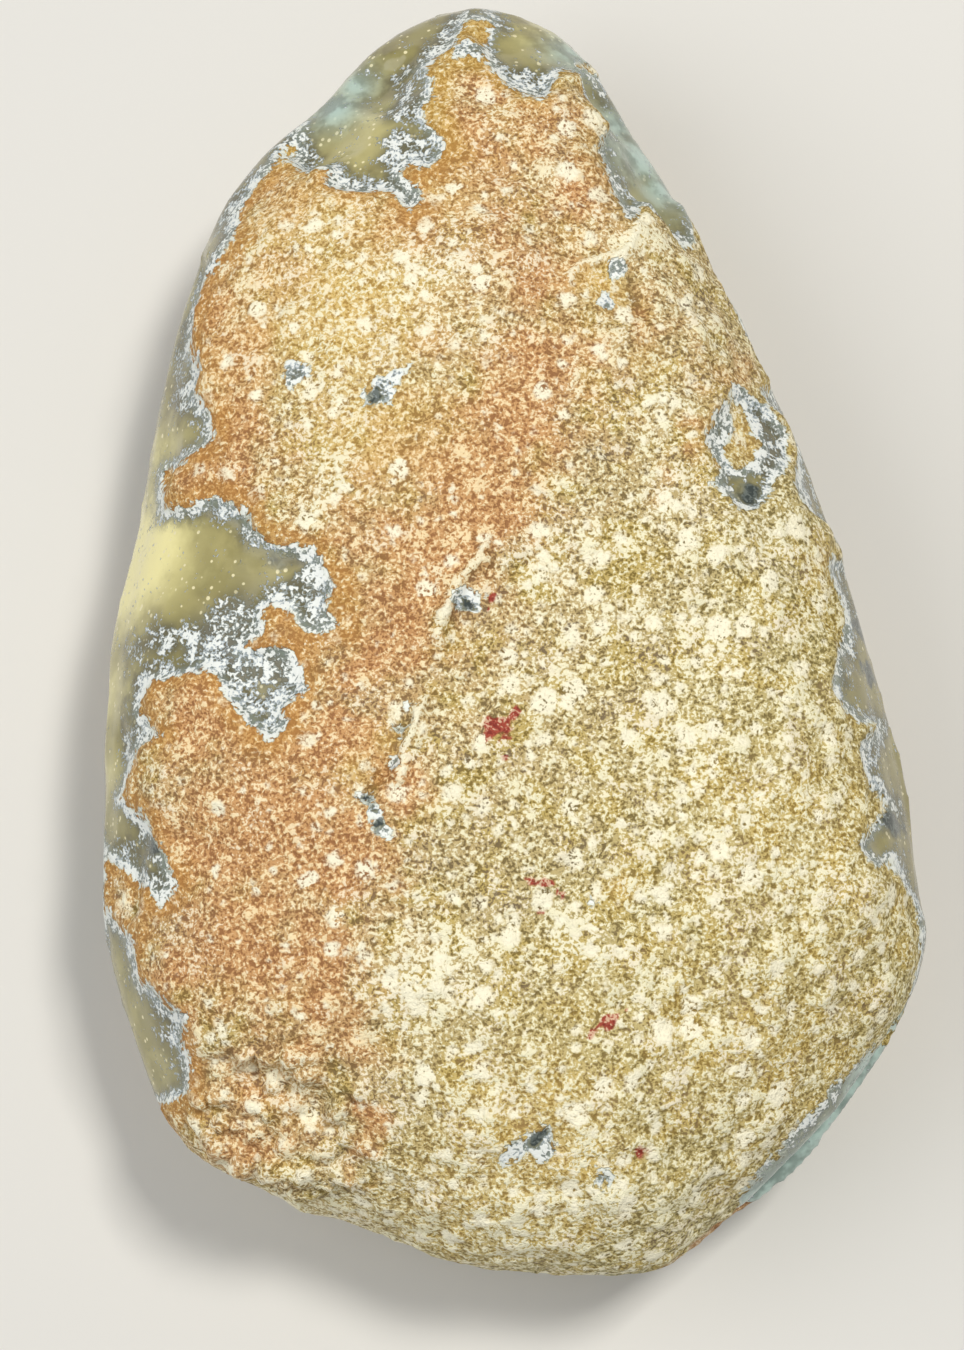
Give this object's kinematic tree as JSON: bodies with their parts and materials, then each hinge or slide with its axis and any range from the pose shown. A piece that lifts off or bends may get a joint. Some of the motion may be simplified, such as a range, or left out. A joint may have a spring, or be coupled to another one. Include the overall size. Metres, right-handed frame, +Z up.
{
  "type": "agate nodule",
  "caption": "Pear-shaped agate nodule lying flat, with a rough cream and rust rind, chipped rims that show olive chalcedony, a low ledge and a knobbly corner.",
  "frame": {"origin": "on the surface that the stone rests on, under the middle of its bounding box", "axes": "+Y along the stone towards its narrow tip, +Z up out of the broad face, +X to the right seen from above with the tip away"},
  "size_m": [0.0802, 0.1276, 0.0365],
  "materials": {
    "rind": "rough natural rind with glossy chalcedony where it is broken away"
  },
  "bodies": {
    "root": {"agate_nodule": "rind"}
  },
  "joints": []
}
